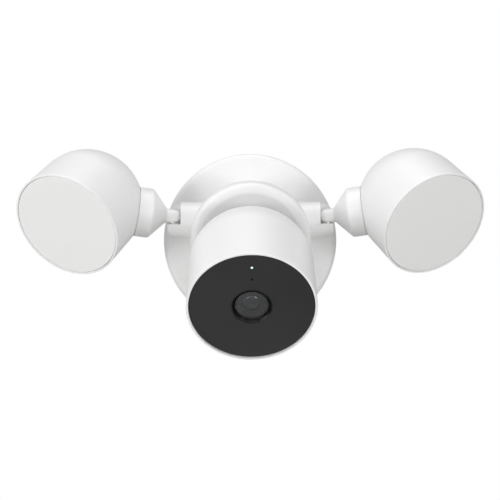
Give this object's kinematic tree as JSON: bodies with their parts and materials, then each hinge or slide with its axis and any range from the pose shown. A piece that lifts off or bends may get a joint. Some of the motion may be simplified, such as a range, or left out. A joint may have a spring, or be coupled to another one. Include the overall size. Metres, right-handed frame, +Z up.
{
  "type": "floodlight security camera",
  "caption": "Wall-mounted security camera with a ball-seated head and bowl-shaped floodlights on hinged stems.",
  "frame": {"origin": "centre of the wall plate's rear face, on the wall", "axes": "+Z up, +Y into the wall, +X to the right of someone facing the wall"},
  "size_m": [0.3194, 0.1628, 0.1389],
  "materials": {
    "white_housing": "fine satin",
    "frosted_diffuser": "frosted",
    "dark_window": "gloss",
    "black_plastic": "matt",
    "lens_glass": "polished",
    "zinc_steel": "zinc plated",
    "plated_fasteners": "nickel plated",
    "magnet_nickel": "nickel plated",
    "grey_rubber": "matt",
    "circuit_board": "solder mask",
    "heat_sink_aluminium": "cast",
    "emitters": "phosphor",
    "status_lens": "clear",
    "grey_plastic": "moulded",
    "transformer_core": "lacquered",
    "battery_wrap": "shrink wrap"
  },
  "bodies": {
    "base": {"base_plate": "white_housing", "hub_shell": "white_housing", "left_arm": "white_housing", "right_arm": "white_housing", "driver_capacitors": "black_plastic", "mounting_bracket": "zinc_steel", "cover_screws": "plated_fasteners", "ground_screw": "plated_fasteners", "rear_cover_screws": "plated_fasteners", "hub_screws": "plated_fasteners", "cradle_screws": "plated_fasteners", "arm_nuts": "plated_fasteners", "knuckle_pins": "plated_fasteners", "cradle_magnet": "magnet_nickel", "wall_gasket": "grey_rubber", "cable_gland": "grey_rubber", "knuckle_washers": "grey_rubber", "driver_board": "circuit_board", "rear_cover": "grey_plastic", "terminal_block": "grey_plastic", "cradle_seat": "grey_plastic", "driver_transformer": "transformer_core"},
    "camera_swivel": {"swivel_pad": "grey_rubber"},
    "camera": {"camera_shell": "white_housing", "front_window": "dark_window", "window_gasket": "grey_rubber", "lens_ring": "black_plastic", "lens_cover": "lens_glass", "lens_barrel": "black_plastic", "lens_element": "lens_glass", "image_sensor": "circuit_board", "camera_chassis": "black_plastic", "chassis_screws": "plated_fasteners", "infrared_emitters": "emitters", "status_light": "status_lens", "microphone": "black_plastic", "main_board": "circuit_board", "battery_pack": "battery_wrap", "speaker": "black_plastic", "steel_disc": "plated_fasteners", "power_port": "plated_fasteners"},
    "reset_button": {"reset_button": "white_housing"},
    "left_stem": {"left_stem": "white_housing", "left_stem_seal": "grey_rubber", "left_lamp_retainer": "plated_fasteners"},
    "left_lamp": {"left_lamp_housing": "white_housing", "left_lamp_diffuser": "frosted_diffuser", "left_lamp_gasket": "grey_rubber", "left_led_board": "heat_sink_aluminium", "left_led_emitters": "emitters", "left_heat_sink": "heat_sink_aluminium"},
    "right_stem": {"right_stem": "white_housing", "right_stem_seal": "grey_rubber", "right_lamp_retainer": "plated_fasteners"},
    "right_lamp": {"right_lamp_housing": "white_housing", "right_lamp_diffuser": "frosted_diffuser", "right_lamp_gasket": "grey_rubber", "right_led_board": "heat_sink_aluminium", "right_led_emitters": "emitters", "right_heat_sink": "heat_sink_aluminium"}
  },
  "joints": [
    {"name": "camera_pan", "type": "hinge", "parent": "base", "child": "camera_swivel", "pos_m": [0, -0.104, -0.01624], "axis": [0, 0, 1], "range_deg": [-25, 25]},
    {"name": "camera_tilt", "type": "hinge", "parent": "camera_swivel", "child": "camera", "pos_m": [0, -0.104, -0.01624], "axis": [1, 0, 0], "range_deg": [-25, 20]},
    {"name": "reset_button_press", "type": "slide", "parent": "camera", "child": "reset_button", "axis": [0, -0.518, 0.8554], "range_m": [0, 0.0006], "stiffness_N_per_m": 300, "springref_m": -0.001},
    {"name": "left_lamp_swing", "type": "hinge", "parent": "base", "child": "left_stem", "pos_m": [-0.054, -0.049, 0.0179], "axis": [0, 0, 1], "range_deg": [-10, 22]},
    {"name": "right_lamp_swing", "type": "hinge", "parent": "base", "child": "right_stem", "pos_m": [0.054, -0.049, 0.0179], "axis": [0, 0, -1], "range_deg": [-10, 22]},
    {"name": "left_lamp_turn", "type": "hinge", "parent": "left_stem", "child": "left_lamp", "pos_m": [-0.1129, -0.0604, 0.0266], "axis": [0.9716, 0.1881, -0.1435], "range_deg": [-90, 90]},
    {"name": "right_lamp_turn", "type": "hinge", "parent": "right_stem", "child": "right_lamp", "pos_m": [0.1129, -0.0604, 0.0266], "axis": [0.9716, -0.1881, 0.1435], "range_deg": [-90, 90]}
  ]
}
